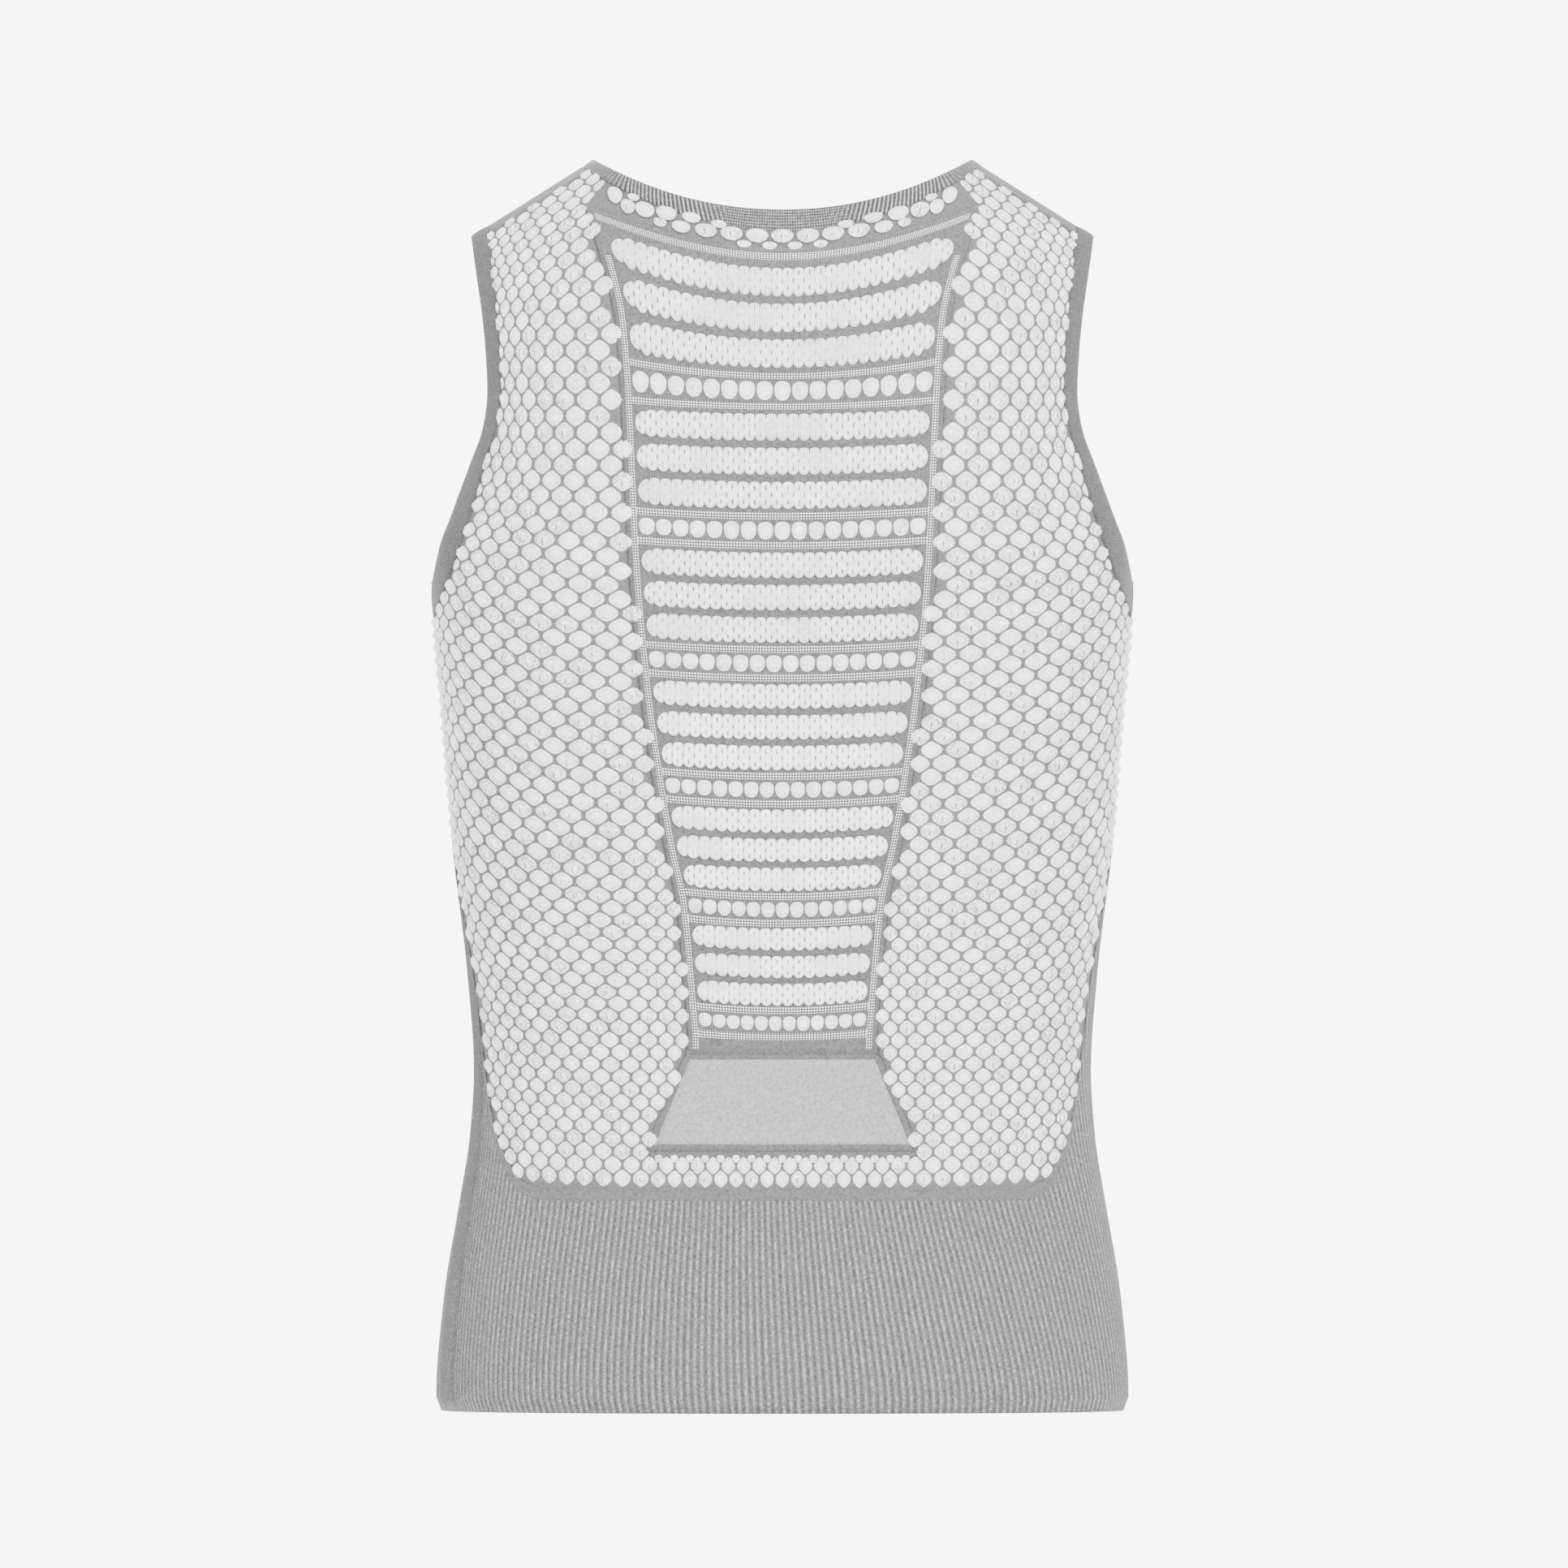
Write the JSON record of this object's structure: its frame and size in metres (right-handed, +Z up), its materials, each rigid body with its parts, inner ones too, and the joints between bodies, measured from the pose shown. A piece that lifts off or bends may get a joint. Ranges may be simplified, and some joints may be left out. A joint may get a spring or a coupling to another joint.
{
  "type": "cycling base layer",
  "caption": "Sleeveless honeycomb-knit base layer worn hollow: puffy mesh body, gathered spine ladder, wide ribbed waist, open neck, hem and armholes, ribbed bands",
  "frame": {"origin": "midway between the two shoulders, where the wearer holds the garment up", "axes": "+Z up, the wearer's front at -Y and so the wearer's left at +X, which lies on the picture's left because the picture looks at the back"},
  "size_m": [0.3456, 0.223, 0.619],
  "materials": {
    "honeycomb_knit": "near-white sheer puffed honeycomb knit with thin grey net lines",
    "ladder_knit": "grey knit with pale gathered windows and beads",
    "smooth_knit": "plain grey jersey knit, matt",
    "rib_knit": "grey fine vertical rib knit, matt",
    "band_knit": "grey finely ribbed band, matt"
  },
  "bodies": {
    "root": {"back_mesh": "honeycomb_knit", "front_mesh": "honeycomb_knit", "ladder_panel": "ladder_knit", "lower_patch": "smooth_knit", "waist_rib": "rib_knit", "neck_band": "band_knit", "armhole_band_left": "band_knit", "armhole_band_right": "band_knit", "shoulder_strip_left": "smooth_knit", "shoulder_strip_right": "smooth_knit"}
  },
  "joints": []
}
